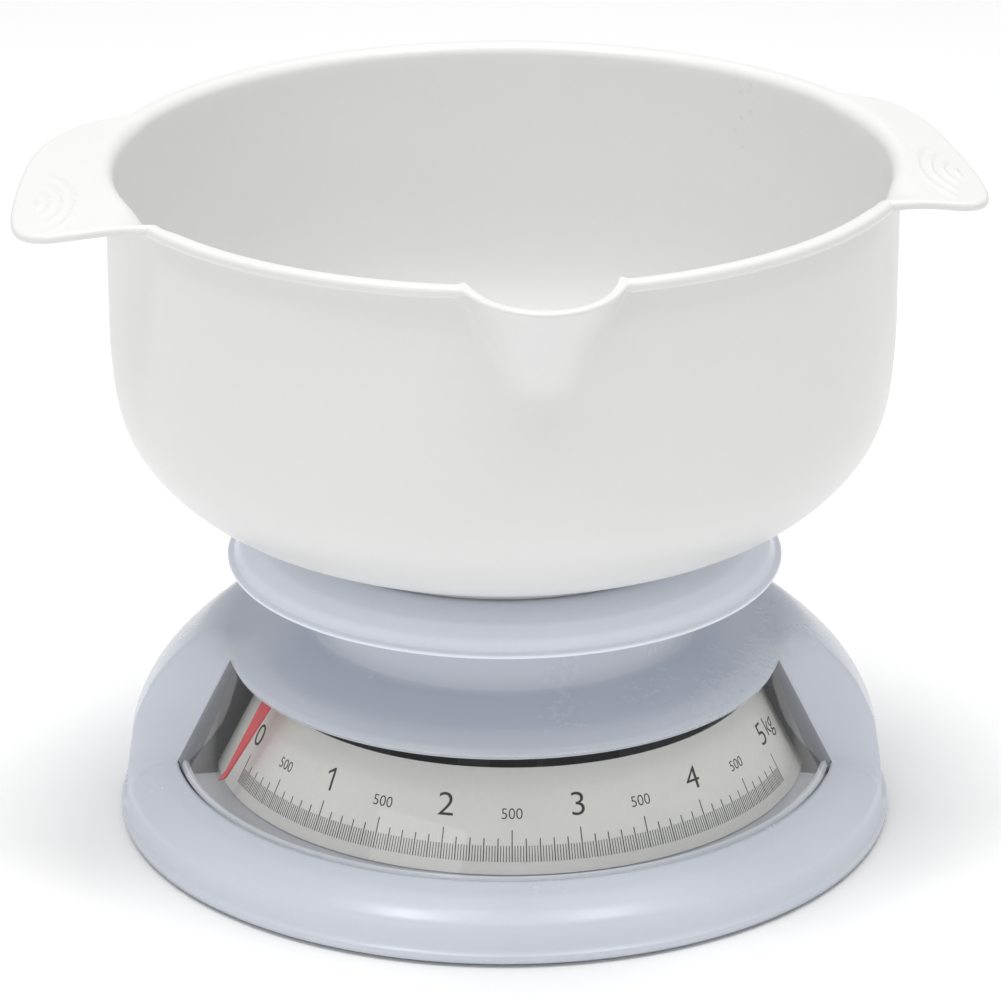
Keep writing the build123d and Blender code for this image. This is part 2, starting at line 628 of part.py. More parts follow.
def bowl_hollow():
    floor = Polyline((0, BOWL_FLOOR), (50.0, BOWL_FLOOR), INNER_CURVE[0])
    curve = Spline(*INNER_CURVE)
    wall = Polyline(INNER_CURVE[-1], (BOWL_R - BOWL_WALL, RIM_TOP + 1), (0, RIM_TOP + 1), (0, BOWL_FLOOR))
    return revolve(Plane.XZ * make_face(floor + curve + wall), Axis.Z, 360)


def spout_solid(by, top):
    """Tapered bulge of the wall: an ellipse at the rim shrinking to nothing below."""
    foot_depth = BOWL_R - 0.2 - SPOUT_CENTRE
    upper = Pos(0, -SPOUT_CENTRE, top) * Ellipse(SPOUT_HALF - by, SPOUT_REACH - SPOUT_CENTRE - by)
    lower = Pos(0, -SPOUT_CENTRE, SPOUT_FOOT_Z) * Ellipse(SPOUT_FOOT_HALF - by, foot_depth - by)
    return loft([lower, upper])


HANDLE_CURVE = [(96.0, 46.0), (104.4, 42.9), (109.5, 40.0), (114.0, 34.8), (118.5, 26.0), (121.5, 15.0),
                (123.5, 1.5), (124.9, -12.0), (125.9, -26.0), (126.0, -36.0)]
HANDLE_ROOT = 97.0                  # a handle is stretched outwards from here
HANDLE_BEND = 104.0                 # level up to here, then sloping down
HANDLE_SLOPE = 6.0
HANDLE_FRONT = -50.2
HANDLE_INNER = 86.0                 # inner edge, which the wall covers
HANDLE_CORNER_R = 8.0
HANDLE_T = 2.5
LEFT_STRETCH = 1.117                # the left handle reaches further than the right one
RIGHT_STRETCH = 0.879


def handle(stretch):
    """Flat ear on the right of the rim: wide at its front, level at the wall, then sloping slightly down."""
    curve = Spline(*[(HANDLE_ROOT + (x - HANDLE_ROOT) * stretch, y) for x, y in HANDLE_CURVE])
    start, end = curve @ 0, curve @ 1
    front = Polyline(end, (end.X, HANDLE_FRONT), (HANDLE_INNER, HANDLE_FRONT), (HANDLE_INNER, start.Y), start)
    face = make_face(curve + front)
    corner = [v for v in face.vertices() if v.X > 110 and v.Y < HANDLE_FRONT + 1]
    plate = extrude(Pos(0, 0, RIM_TOP - HANDLE_T) * fillet(corner, HANDLE_CORNER_R), HANDLE_T)
    level = plate & Pos(HANDLE_BEND - 50, 0, RIM_TOP) * Box(100, 200, 10)
    sloped = Pos(HANDLE_BEND, 0, RIM_TOP) * Rot(0, HANDLE_SLOPE, 0) * Pos(-HANDLE_BEND, 0, -RIM_TOP) * plate
    return level + (sloped - Pos(100, 0, RIM_TOP + 10) * Box(200, 200, 20))


def bowl():
    outer = bowl_body() + spout_solid(0, RIM_TOP)
    shape = outer + handle(RIGHT_STRETCH) + mirror(handle(LEFT_STRETCH), Plane.YZ)
    shape = shape - bowl_hollow() - spout_solid(BOWL_WALL, RIM_TOP + 0.01)
    return Pos(BOWL_SHIFT, 0, 0) * Rot(0, 0, BOWL_TURN) * shape


# ------------------------------------------------------------------- export
NODES = {
    "housing": housing, "window_lens": window_lens, "dial_card": dial_card, "dial_carrier": dial_carrier,
    "base_cover": base_cover, "foot_ring": foot_ring, "chassis": chassis, "overload_stop": overload_stop,
    "arbor_bridge": arbor_bridge, "rack_guide": rack_guide, "crank_pivot_pin": crank_pivot_pin,
    "tray": tray, "platform_post": platform_post, "tray_screw": tray_screw, "carrier": carrier,
    "drive_pin": drive_pin, "bell_crank": bell_crank, "rack": rack, "rack_pin": rack_pin, "pinion": pinion,
    "pointer_arbor": pointer_arbor, "pointer_hub": pointer_hub, "pointer": pointer,
    "counterweight": counterweight, "zero_knob": zero_knob, "zero_screw": zero_screw, "zero_bush": zero_bush,
    "zero_nut": zero_nut, "zero_lever": zero_lever, "bowl": bowl,
}
for name, make in NODES.items():
    export(make(), name)
for name, screws in (("cover_screws", cover_screws()), ("chassis_screws", chassis_screws())):
    export(Compound(children=screws), name)
for name, z in (("upper", UPPER_LINK_Z), ("lower", LOWER_LINK_Z)):
    export(parallel_link(z), f"{name}_link")
    export(link_pivot_pin(z), f"{name}_pivot_pin")
    export(Compound(children=link_pins(z)), f"{name}_link_pins")
for name, z in (("lower", LOWER_BRIDGE_Z), ("upper", UPPER_BRIDGE_Z)):
    export(arbor_bush(z), f"{name}_arbor_bush")
for name, side in (("left", -1), ("right", 1)):
    export(main_spring(side), f"main_spring_{name}")
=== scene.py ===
import json
from math import cos, pi, radians, sin, tan

import bmesh
import bpy
import numpy as np
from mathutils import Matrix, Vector


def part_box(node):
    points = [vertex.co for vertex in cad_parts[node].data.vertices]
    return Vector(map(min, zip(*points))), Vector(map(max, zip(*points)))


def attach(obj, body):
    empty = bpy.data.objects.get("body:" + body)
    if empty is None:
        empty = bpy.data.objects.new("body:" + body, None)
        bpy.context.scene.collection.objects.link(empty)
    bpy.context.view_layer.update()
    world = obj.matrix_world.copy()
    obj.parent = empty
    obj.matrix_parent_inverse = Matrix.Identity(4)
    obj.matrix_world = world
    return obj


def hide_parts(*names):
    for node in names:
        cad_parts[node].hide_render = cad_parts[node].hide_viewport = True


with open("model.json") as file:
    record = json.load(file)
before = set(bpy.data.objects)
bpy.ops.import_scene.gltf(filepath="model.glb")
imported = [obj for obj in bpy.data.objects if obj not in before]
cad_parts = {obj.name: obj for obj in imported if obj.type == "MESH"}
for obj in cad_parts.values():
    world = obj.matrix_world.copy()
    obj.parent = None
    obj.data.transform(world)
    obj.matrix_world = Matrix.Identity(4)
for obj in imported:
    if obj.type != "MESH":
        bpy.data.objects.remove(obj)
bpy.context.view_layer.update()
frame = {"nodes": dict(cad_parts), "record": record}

# ---------------------------------------------------------------------------
# Looks of the kitchen scale. Shapes are worked out in millimetres and written
# to the meshes in metres. "Azimuth" runs from the front (-Y) towards +X.
# ---------------------------------------------------------------------------
MM = 0.001

# Window and the cones behind it, as (radius, height)
WINDOW_BOTTOM = np.array([90.5, 17.7])
WINDOW_TOP = np.array([75.4, 46.7])
WINDOW_HALF = 80.0
SLOPE_LENGTH = float(np.hypot(*(WINDOW_TOP - WINDOW_BOTTOM)))
UP = (WINDOW_TOP - WINDOW_BOTTOM) / SLOPE_LENGTH

# Dial print: places along the slope, and the azimuths of its two ends
CARD_DEPTH = 10.3
DIAL_SHIFT = 1.5
DIAL_ZERO = -68.4
DIAL_SWEEP = 137.5
FULL_LOAD = 5
TICKS_PER_KG = 50
TICK_FOOT = 5.2
TICK_TOPS = {50: 13.5, 25: 13.5, 5: 11.3, 1: 9.4}       # every so many ticks, the tick ends here

# Bowl
RIM_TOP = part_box("bowl")[1].z / MM
RIM_T = 3.2
RIM_R = 107.8
EAR_T = 2.5
SPOUT_T = 1.5
BOWL_R = 104.4
BOWL_WALL = 2.3
BOWL_TURN = 5.5
BOWL_SHIFT = -0.5
BOWL_LEAN = 0.0035                  # the loose bowl's rim is a little lower on the left
LEAN_FROM = 146.0                   # so the lean is measured from here, right of the bowl
SPOUT_CENTRE = 97.0
SPOUT_REACH = 126.45
SPOUT_HALF = 20.8
SPOUT_FOOT = 160.0
EAR_TILT = 6.0
TRAY_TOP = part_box("tray")[1].z / MM


# ------------------------------------------------------------------ outlines
def on_cone(t, depth):
    """Radius and height of a place t up the window's slope and a depth below its outer face."""
    t, depth = np.broadcast_arrays(np.asarray(t, float), np.asarray(depth, float))
    radius = WINDOW_BOTTOM[0] + UP[0] * t - UP[1] * depth
    height = WINDOW_BOTTOM[1] + UP[1] * t + UP[0] * depth
    return radius, height


def place(radius, height, azimuth):
    """Points of a round shape: x is the radius times the sine of the azimuth, y minus its cosine."""
    a = np.radians(azimuth)
    return np.stack(np.broadcast_arrays(radius * np.sin(a), -radius * np.cos(a), height), -1)


def rounded(corners, steps=5):
    """Open outline of straight runs. Each corner is (r, z, fillet), and a fillet is an arc of that radius."""
    points = np.array(corners, float)
    path = [points[:1, :2]]
    for before, here, after in zip(points, points[1:], points[2:]):
        fillet = here[2]
        back, ahead = before[:2] - here[:2], after[:2] - here[:2]
        back, ahead = back / np.hypot(*back), ahead / np.hypot(*ahead)
        half = np.arccos(np.clip(back @ ahead, -1, 1)) / 2
        if fillet == 0 or half > 0.499 * pi:
            path.append(here[None, :2])
            continue
        middle = (back + ahead) / np.hypot(*(back + ahead))
        centre = here[:2] + middle * fillet / np.sin(half)
        start = here[:2] + back * fillet / np.tan(half) - centre
        end = here[:2] + ahead * fillet / np.tan(half) - centre
        turn = pi - 2 * half
        s = np.linspace(0, 1, steps + 1)[:, None]
        path.append(centre + (np.sin((1 - s) * turn) * start + np.sin(s * turn) * end) / np.sin(turn))
    path.append(points[-1:, :2])
    return np.vstack(path)


def evenly(points, count):
    """The same line as count points, the same length apart."""
    points = np.asarray(points, float)
    run = np.concatenate([[0], np.cumsum(np.hypot(*np.diff(points, axis=0).T))])
    at = np.linspace(0, run[-1], count)
    return np.stack([np.interp(at, run, points[:, 0]), np.interp(at, run, points[:, 1])], -1)


def smooth(points, count):
    """Smooth line through the points, a Catmull-Rom curve, as count points the same length apart."""
    p = np.asarray(points, float)
    p = np.vstack([2 * p[0] - p[1], p, 2 * p[-1] - p[-2]])
    s = np.linspace(0, 1, 24, endpoint=False)[None, :, None]
    a, b, c, d = (p[i:len(p) - 3 + i, None] for i in range(4))
    cubic = ((2 * b) + (c - a) * s + (2 * a - 5 * b + 4 * c - d) * s**2 + (3 * b - a - 3 * c + d) * s**3) / 2
    return evenly(np.vstack([cubic.reshape(-1, 2), p[-2:-1]]), count)


# -------------------------------------------------------------------- meshes
def finish_mesh(name, mesh, finish, body, replaced=()):
    """Merge doubles, turn faces outwards, shade smoothly, and make a piece of it."""
    work = bmesh.new()
    work.from_mesh(mesh)
    bmesh.ops.remove_doubles(work, verts=work.verts, dist=1e-7)
    bmesh.ops.recalc_face_normals(work, faces=work.faces)
    work.to_mesh(mesh)
    work.free()
    mesh.polygons.foreach_set("use_smooth", np.ones(len(mesh.polygons), bool))
    mesh.set_sharp_from_angle(angle=radians(38))
    mesh.materials.append(finish)
    piece = bpy.data.objects.new(name, mesh)
    bpy.context.scene.collection.objects.link(piece)
    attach(piece, body)
    if replaced:
        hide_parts(*replaced)
    return piece


def grid_mesh(name, points, wrap_rows=False, wrap_columns=False, keep=None):
    """Mesh of a grid of points, rows by columns by three, in millimetres: neighbours are joined by quads."""
    rows, columns = points.shape[:2]
    index = np.arange(rows * columns).reshape(rows, columns)
    if wrap_columns:
        index = np.hstack([index, index[:, :1]])
    if wrap_rows:
        index = np.vstack([index, index[:1]])
    quads = np.stack([index[:-1, :-1], index[:-1, 1:], index[1:, 1:], index[1:, :-1]], -1)
    quads = quads[keep] if keep is not None else quads.reshape(-1, 4)
    mesh = bpy.data.meshes.new(name)
    mesh.from_pydata((points.reshape(-1, 3) * MM).tolist(), [], quads.tolist())
    return mesh


def wall(piece, thickness):
    """Give an open shell its thickness, inwards, in millimetres."""
    solid = piece.modifiers.new("wall", "SOLIDIFY")
    solid.thickness = thickness * MM
    solid.offset = -1
    return solid


def turned(name, outline, finish, body, replaced=(), count=192):
    """Closed solid of revolution: an outline of (radius, height), closed on itself, at every azimuth."""
    azimuth = np.linspace(0, 360, count, endpoint=False)
    points = place(outline[:, :1], outline[:, 1:], azimuth[None, :])
    return finish_mesh(name, grid_mesh(name, points, True, True), finish, body, replaced)


# ----------------------------------------------------------------- materials
class Value:
    """A number that varies over a surface. It wraps a socket, and arithmetic on it adds Math nodes."""

    def __init__(self, finish, socket):
        self.finish, self.socket = finish, socket

    def math(self, operation, *terms):
        node = self.finish.add("ShaderNodeMath", {"operation": operation}, dict(enumerate(terms)))
        return Value(self.finish, node.outputs[0])

    def __add__(self, other):
        return self.math("ADD", self, other)

    def __sub__(self, other):
        return self.math("SUBTRACT", self, other)

    def __rsub__(self, other):
        return self.math("SUBTRACT", other, self)

    def __mul__(self, other):
        return self.math("MULTIPLY", self, other)

    def __pow__(self, other):
        return self.math("POWER", self, other)

    def above(self, edge, softness):
        """0 below the edge, 1 above it, and a straight slope of that softness between."""
        slope = (self - edge) * (1 / softness)
        return slope.math("MINIMUM", slope.math("MAXIMUM", slope, 0.0), 1.0)

    __radd__ = __add__
    __rmul__ = __mul__


class Finish:
    """A material being made. add() makes any node: its type, its settings, then its sockets' values or links."""

    def __init__(self, name):
        self.material = bpy.data.materials.new(name)
        self.material.use_nodes = True
        self.tree = self.material.node_tree
        self.tree.nodes.clear()
        self.object = self.add("ShaderNodeTexCoord").outputs["Object"]

    def add(self, kind, settings=None, sockets=None):
        node = self.tree.nodes.new(kind)
        for name, value in (settings or {}).items():
            setattr(node, name, value)
        for key, value in (sockets or {}).items():
            value = value.socket if isinstance(value, Value) else value
            if isinstance(value, bpy.types.NodeSocket):
                self.tree.links.new(value, node.inputs[key])
            else:
                node.inputs[key].default_value = value
        return node

    def mapped(self, stretch):
        """Object coordinates, stretched by a factor along each axis."""
        return self.add("ShaderNodeMapping", {}, {"Vector": self.object, "Scale": stretch}).outputs[0]

    def noise(self, scale, detail=2.0, stretch=None):
        vector = self.object if stretch is None else self.mapped(stretch)
        node = self.add("ShaderNodeTexNoise", {}, {"Vector": vector, "Scale": scale, "Detail": detail})
        return Value(self, node.outputs[0])

    def blend(self, factor, first, second):
        """Colour between two colours."""
        sockets = {0: factor, 6: first, 7: second}
        return self.add("ShaderNodeMix", {"data_type": "RGBA"}, sockets).outputs[2]

    def bump(self, height, strength, distance):
        sockets = {"Height": height, "Strength": strength, "Distance": distance}
        return self.add("ShaderNodeBump", {}, sockets).outputs[0]

    def shade(self, **sockets):
        """Principled shader. Sockets are named with underscores for spaces."""
        named = {name.replace("_", " "): value for name, value in sockets.items()}
        return self.add("ShaderNodeBsdfPrincipled", {}, named).outputs[0]

    def done(self, shader):
        self.add("ShaderNodeOutputMaterial", {}, {"Surface": shader})
        return self.material


def colour(red, green, blue, brightness=1.0):
    """Linear colour from 8-bit values, made lighter or darker by a factor."""
    channels = np.array([red, green, blue]) / 255
    linear = np.where(channels > 0.04045, ((channels + 0.055) / 1.055) ** 2.4, channels / 12.92)
    return (*(linear * brightness).tolist(), 1.0)


def moulded(name, rgb, roughness, grain):
    """Moulded plastic: faint flow mottling, an uneven gloss and a fine skin."""
    f = Finish(name)
    mottle = f.noise(14.0, 3.0)
    fine = f.noise(420.0, 2.0)
    base = f.blend(mottle * 0.7 + fine * 0.3, colour(*rgb, 0.965), colour(*rgb, 1.03))
    smears = f.noise(22.0, 2.0, (1.0, 1.0, 0.4))
    gloss = roughness + (smears - 0.5) * 0.08 + (fine - 0.5) * 0.03
    skin = f.bump(f.noise(grain, 2.0), 0.05, 0.0003)
    return f.done(f.shade(Base_Color=base, Roughness=gloss, Normal=skin, IOR=1.5))


def drawn_metal(name, rgb, roughness, along):
    """Metal with fine drawing marks along one axis and a slightly uneven tarnish."""
    f = Finish(name)
    stretch = tuple(1.0 if axis == along else 14.0 for axis in "xyz")
    marks = f.noise(160.0, 3.0, stretch)
    tarnish = f.noise(45.0, 4.0)
    base = f.blend(tarnish, colour(*rgb, 0.82), colour(*rgb, 1.06))
    rough = roughness + (marks - 0.5) * 0.22 + (tarnish - 0.5) * 0.12
    return f.done(f.shade(Base_Color=base, Metallic=1.0, Roughness=rough, Normal=f.bump(marks, 0.12, 0.0002)))


def matt(name, rgb, roughness, scale, depth):
    """Matt surface with a fine tooth: rubber, acetal, nylon, card."""
    f = Finish(name)
    tooth = f.noise(scale, 4.0)
    cloud = f.noise(28.0, 3.0)
    base = f.blend(cloud * 0.6 + tooth * 0.4, colour(*rgb, 0.9), colour(*rgb, 1.06))
    rough = roughness + (tooth - 0.5) * 0.15
    return f.done(f.shade(Base_Color=base, Roughness=rough, Normal=f.bump(tooth, 0.25, depth)))


def acrylic():
    """Clear window: reflects by Fresnel, with faint wiping smears."""
    f = Finish("clear_acrylic")
    fresnel = Value(f, f.add("ShaderNodeFresnel", {}, {"IOR": 1.49}).outputs[0])
    smears = f.noise(26.0, 4.0, (1.0, 1.0, 0.3))
    gloss = f.shade(Base_Color=(1.0, 1.0, 1.0, 1.0), Roughness=0.03 + smears * 0.05, Metallic=1.0)
    clear = f.add("ShaderNodeBsdfTransparent", {}, {"Color": (0.965, 0.968, 0.965, 1.0)}).outputs[0]
    facing = 1 - Value(f, f.add("ShaderNodeNewGeometry").outputs["Backfacing"])
    amount = (fresnel + (smears - 0.45) * 0.02) * facing
    return f.done(f.add("ShaderNodeMixShader", {}, {0: amount, 1: clear, 2: gloss}).outputs[0])


def red_paint():
    f = Finish("red_paint")
    cloud = f.noise(60.0, 3.0)
    base = f.blend(cloud, colour(214, 66, 76), colour(228, 80, 88))
    rough = 0.42 + (f.noise(700.0, 2.0) - 0.5) * 0.12
    return f.done(f.shade(Base_Color=base, Roughness=rough, Normal=f.bump(f.noise(900.0), 0.15, 0.0001)))


def ink():
    f = Finish("dial_ink")
    patchy = f.noise(1400.0, 2.0)
    return f.done(f.shade(Base_Color=f.blend(patchy, colour(34, 34, 36), colour(62, 62, 64)), Roughness=0.6))


FINISHES = {
    "casing_white": moulded("casing_plastic", (208, 213, 223), 0.26, 260.0),
    "tray_white": moulded("tray_plastic", (238, 243, 254), 0.2, 240.0),
    "bowl_white": moulded("bowl_plastic", (226, 226, 225), 0.30, 300.0),
    "knob_plastic": moulded("knob_plastic", (206, 211, 222), 0.38, 500.0),
    "clear_window": acrylic(),
    "card_cream": matt("dial_card", (240, 239, 235), 0.62, 650.0, 0.00008),
    "surround_grey": matt("surround_grey", (204, 205, 213), 0.5, 500.0, 0.0001),
    "pointer_red": red_paint(),
    "steel": drawn_metal("plated_steel", (176, 178, 182), 0.36, "y"),
    "pin_steel": drawn_metal("ground_steel", (200, 201, 203), 0.22, "x"),
    "brass": drawn_metal("turned_brass", (214, 178, 104), 0.3, "z"),
    "nylon": matt("nylon", (226, 223, 214), 0.45, 300.0, 0.0001),
    "acetal_black": matt("black_acetal", (44, 44, 47), 0.4, 350.0, 0.0001),
    "foot_rubber": matt("rubber", (52, 52, 55), 0.75, 420.0, 0.0002),
    "spring_steel": drawn_metal("spring_steel", (150, 152, 156), 0.34, "z"),
}
# Window ledges: the casing plastic painted lighter, which is painted light making up for the shade behind the
# window
LEDGE_PAINTED_LIGHT = moulded("ledge_plastic_painted_light", (230, 234, 242), 0.35, 260.0)
# Window cheeks: casing plastic painted dark grey, which is painted shade of the walls at the window's ends
CHEEK_PAINTED_SHADE = matt("cheek_painted_shade", (128, 127, 131), 0.5, 500.0, 0.0001)
INK = ink()


def dress_nodes():
    """Every CAD node takes its record slot's finish."""
    for part in frame["record"]["subparts"]:
        for slot in frame["nodes"][part["node"]].material_slots:
            slot.material = FINISHES[part["material_slot"]]


# ---------------------------------------------------------------------- bowl
FOOT_LINE = [(0, 83.6, 0), (52.0, 83.6, 0.8), (53.2, TRAY_TOP + 0.05, 0.5), (56.0, TRAY_TOP + 0.05, 0.5),
             (57.0, 83.2, 0.6), (58.6, 85.2, 0)]
OUTER_CURVE = [(58.6, 85.2), (69.2, 88.4), (83.5, 95.2), (95.0, 105.2), (101.8, 117.2), (104.2, 134.0),
               (104.4, 155.0)]
INNER_CURVE = [(102.1, 155.0), (101.9, 134.0), (99.6, 118.2), (93.0, 106.6), (82.0, 97.1), (68.2, 90.5),
               (57.0, 87.3), (50.0, 86.0)]
EAR_LINE = [(94.0, 48.0), (98.0, 46.2), (104.4, 42.9), (109.5, 40.0), (114.0, 34.8), (118.5, 26.0), (121.5, 15.0),
            (123.5, 1.5), (124.9, -12.0), (125.9, -26.0), (125.9, -36.0), (124.6, -43.5), (121.8, -47.8),
            (117.5, -50.0), (110.0, -50.2), (102.0, -50.2), (93.0, -50.2)]
EAR_ROOT = 97.0
LEFT_STRETCH, RIGHT_STRETCH = 1.110, 0.879      # the left ear reaches further than the right one
GRIP = (121.0, -24.0)                           # middle of an ear's grip ridges
CORNER_SOFTNESS = 4.0                           # where the spout leaves the wall


def spout_radius(azimuth, height):
    """Radius of the spout's ellipse along a ray. The ellipse widens evenly from its foot to the rim."""
    s = np.clip((height - SPOUT_FOOT) / (RIM_TOP - SPOUT_FOOT), 0, 1)
    across = 9.0 + (SPOUT_HALF - 9.0) * s
    along = 7.6 + (SPOUT_REACH - SPOUT_CENTRE - 7.6) * s
    a = np.radians(azimuth)
    square = (np.sin(a) / across) ** 2 + (np.cos(a) / along) ** 2
    linear = SPOUT_CENTRE * np.cos(a) / along**2
    constant = (SPOUT_CENTRE / along) ** 2 - 1
    radius = (linear + np.sqrt(np.maximum(linear**2 - square * constant, 0))) / square
    return np.where(np.cos(a) > 0, radius, 0) - 1.5 * np.maximum(SPOUT_FOOT - height, 0)


def soft_max(a, b, softness):
    """The larger of two lengths, with a rounded corner where they cross."""
    return (a + b + np.sqrt((a - b) ** 2 + softness**2)) / 2


def skew(radius, azimuth):
    """How much longer a step along the ray is than the same step square to the outline."""
    slope = np.gradient(radius, np.radians(azimuth), axis=-1) / radius
    return np.minimum(np.sqrt(1 + slope**2), 2.8)


def stretch(azimuth):
    return np.where(azimuth > 0, RIGHT_STRETCH, LEFT_STRETCH)


def rim_edge(azimuth):
    """Radius of the rim's edge: a circle, or the outline of an ear at either side."""
    outline = smooth(EAR_LINE, 500)
    edge = np.full_like(azimuth, RIM_R)
    for side in (-1, 1):
        across = EAR_ROOT + (outline[:, 0] - EAR_ROOT) * stretch(side)
        at = side * np.degrees(np.arctan2(across, -outline[:, 1]))
        order = np.argsort(at)
        ear = np.interp(azimuth, at[order], np.hypot(across, outline[:, 1])[order], left=0, right=0)
        edge = np.maximum(edge, ear)
    return edge


def grip_ridges(x, y, azimuth):
    """Low curved ridges on an ear: ellipses round the grip's middle, on its side towards the bowl."""
    middle = EAR_ROOT + (GRIP[0] - EAR_ROOT) * stretch(azimuth)
    across, along = np.abs(x) - middle, (y - GRIP[1]) / 2.2
    ring = np.hypot(across, along)
    turn = np.degrees(np.arctan2(along, -across))
    facing = np.clip((66 - np.abs(turn)) / 22, 0, 1)
    near = np.clip((12.2 - ring) / 0.6, 0, 1)
    wave = np.clip(np.cos(2 * pi * (ring - 1.6) / 3.2), 0, 1) ** 2
    return 0.45 * wave * facing * near * (np.cos(np.radians(azimuth)) > -0.5)


def bowl_azimuths():
    """Azimuths of the bowl's grid: close together at the spout and the ears."""
    ears = np.concatenate([np.arange(60, 70, 0.25), np.arange(70, 118, 0.45)])
    parts = [np.arange(-180, 180, 2.5), np.arange(-20, 20.01, 0.5), ears, -ears]
    return np.unique(np.round(np.concatenate(parts), 2))


def bowl():
    """Thin shell from the middle of the foot, up the outside, over the rim and down to the floor."""
    azimuth = bowl_azimuths()

    def side(plain, height, inner):
        """Wall radius at the heights: the larger of the round wall and the spout."""
        radius = soft_max(plain + (BOWL_WALL if inner else 0), spout_radius(azimuth, height), CORNER_SOFTNESS)
        radius = radius - (BOWL_WALL * skew(radius, azimuth) if inner else 0)
        return np.where(height > 140, radius, plain)

    def tall(plain, low, high, inner):
        """Rows of upright wall, from one height up to another that differs round the bowl."""
        height = low + (high - low) * np.linspace(0, 1, 12)[1:, None]
        return side(plain, height, inner), height

    def flat_rows(outline, inner):
        height = outline[:, 1:] + 0 * azimuth
        return side(outline[:, :1] + 0 * azimuth, height, inner), height

    wall_top = side(BOWL_R, RIM_TOP + 0 * azimuth, False)
    spout = np.clip((wall_top - BOWL_R - 1.0) / 4, 0, 1)
    ear_edge = rim_edge(azimuth)
    ear = np.clip((ear_edge - RIM_R) / 5, 0, 1)
    thick = RIM_T + (EAR_T - RIM_T) * ear + (SPOUT_T - RIM_T) * spout
    edge = np.where(spout > 0, soft_max(ear_edge, wall_top, 2.5) - 0.4 * (1 - spout), ear_edge)
    under_z = RIM_TOP - thick
    front_corner = np.exp(-(((np.abs(azimuth) - 66) / 4.5) ** 2))
    lip_z = 3.0 + 0.8 * ear + 2.5 * front_corner - 2.0 * spout

    low_r, low_z = flat_rows(np.vstack([rounded(FOOT_LINE, 3)[:-1], smooth(OUTER_CURVE, 26)]), False)
    up_r, up_z = tall(BOWL_R, 155.0, under_z - 0.5, False)
    outer_r = up_r[-1]
    inset = 0.42 * thick * skew(edge, azimuth)
    inset = np.minimum(inset, np.maximum(edge - outer_r - 0.2, 0.45 * thick))
    s = np.linspace(0, 1, 5)[:, None]
    ledge_in = np.minimum(outer_r + 0.5, edge - inset)
    under_r = ledge_in + (edge - inset - ledge_in) * s
    turn = np.linspace(-pi / 2, pi / 2, 9)[1:-1, None]
    edge_r = edge - inset + inset * np.cos(turn)
    edge_z = RIM_TOP - thick / 2 + thick / 2 * np.sin(turn)

    down_r, down_z = tall(BOWL_R - BOWL_WALL, 155.0, RIM_TOP - lip_z, True)
    down_r, down_z = down_r[::-1], down_z[::-1]
    start = down_r[0]
    lip_r = 2.9 + 1.0 * ear + 7.0 * front_corner - 2.0 * spout
    lip_r = np.minimum(lip_r * np.minimum(skew(start, azimuth), 1.5), edge - inset - start - 0.15)
    s = np.linspace(0, 1, 42)[:, None]
    over_r = edge - inset + (start + lip_r - edge + inset) * s
    turn = np.linspace(0, pi / 2, 7)[1:, None]
    in_r = start + lip_r - lip_r * np.sin(turn)
    in_z = RIM_TOP - lip_z + lip_z * np.cos(turn)
    floor_r, floor_z = flat_rows(np.vstack([smooth(INNER_CURVE, 26)[1:], [[0, 86.0]]]), True)

    level = [np.broadcast_to(z, r.shape) for z, r in ((under_z, under_r), (RIM_TOP + 0.0, over_r))]
    radius = np.vstack([low_r, up_r, under_r, edge_r, over_r, in_r, down_r[1:], floor_r])
    height = np.vstack([low_z, up_z, level[0], edge_z, level[1], in_z, down_z[1:], floor_z])
    radius[0] = 0
    radius[-1] = 0
    first = len(low_r) + len(up_r)
    last = first + len(under_r) + len(edge_r) + len(over_r) + len(in_r)
    points = place(radius, height, azimuth)
    rows = np.arange(len(points))[:, None]
    flange = (rows >= first) & (rows < last)
    across = np.abs(points[..., 0])
    drop = tan(radians(EAR_TILT)) * soft_max(across - 104, 0, 1.5)
    top = (rows >= first + len(under_r) + len(edge_r)) & flange
    points[..., 2] -= np.where(flange & (across > 96), drop - tan(radians(EAR_TILT)) * soft_max(-8.0, 0, 1.5), 0)
    points[..., 2] += np.where(top, grip_ridges(points[..., 0], points[..., 1], azimuth), 0)
    share_up = (points[..., 2] - TRAY_TOP) / (RIM_TOP - TRAY_TOP)
    points[..., 2] += BOWL_LEAN * (points[..., 0] - LEAN_FROM) * share_up
    turn = radians(BOWL_TURN)
    x, y = points[..., 0].copy(), points[..., 1].copy()
    points[..., 0] = x * cos(turn) - y * sin(turn) + BOWL_SHIFT
    points[..., 1] = x * sin(turn) + y * cos(turn)
    mesh = grid_mesh("mixing_bowl", points, wrap_columns=True)
    return finish_mesh("mixing_bowl", mesh, FINISHES["bowl_white"], "bowl", ["bowl"])


# ---------------------------------------------------------------------- tray
def tray():
    """Round tray with a domed top, a flat rim, a hollow underside and a socket for the post."""
    top = [(2.15, 79.8, 0), (2.15, TRAY_TOP, 0.2), (50, TRAY_TOP, 20), (58, 81.4, 14), (66.8, 79.5, 6),
           (71.6, 77.0, 4), (73.3, 74.5, 0.7), (74.95, 74.2, 0.45), (74.95, 73.25, 0.3)]
    under = [(71.4, 73.25, 0.5), (70.4, 75.4, 1.5), (65.0, 78.0, 6), (53.8, 79.7, 10), (11.0, 79.8, 1.0),
             (11.0, 75.8, 0.4), (7.7, 75.8, 0.3), (7.7, 79.8, 0)]
    return turned("tray_top", rounded(top + under), FINISHES["tray_white"], "platform", ["tray"])


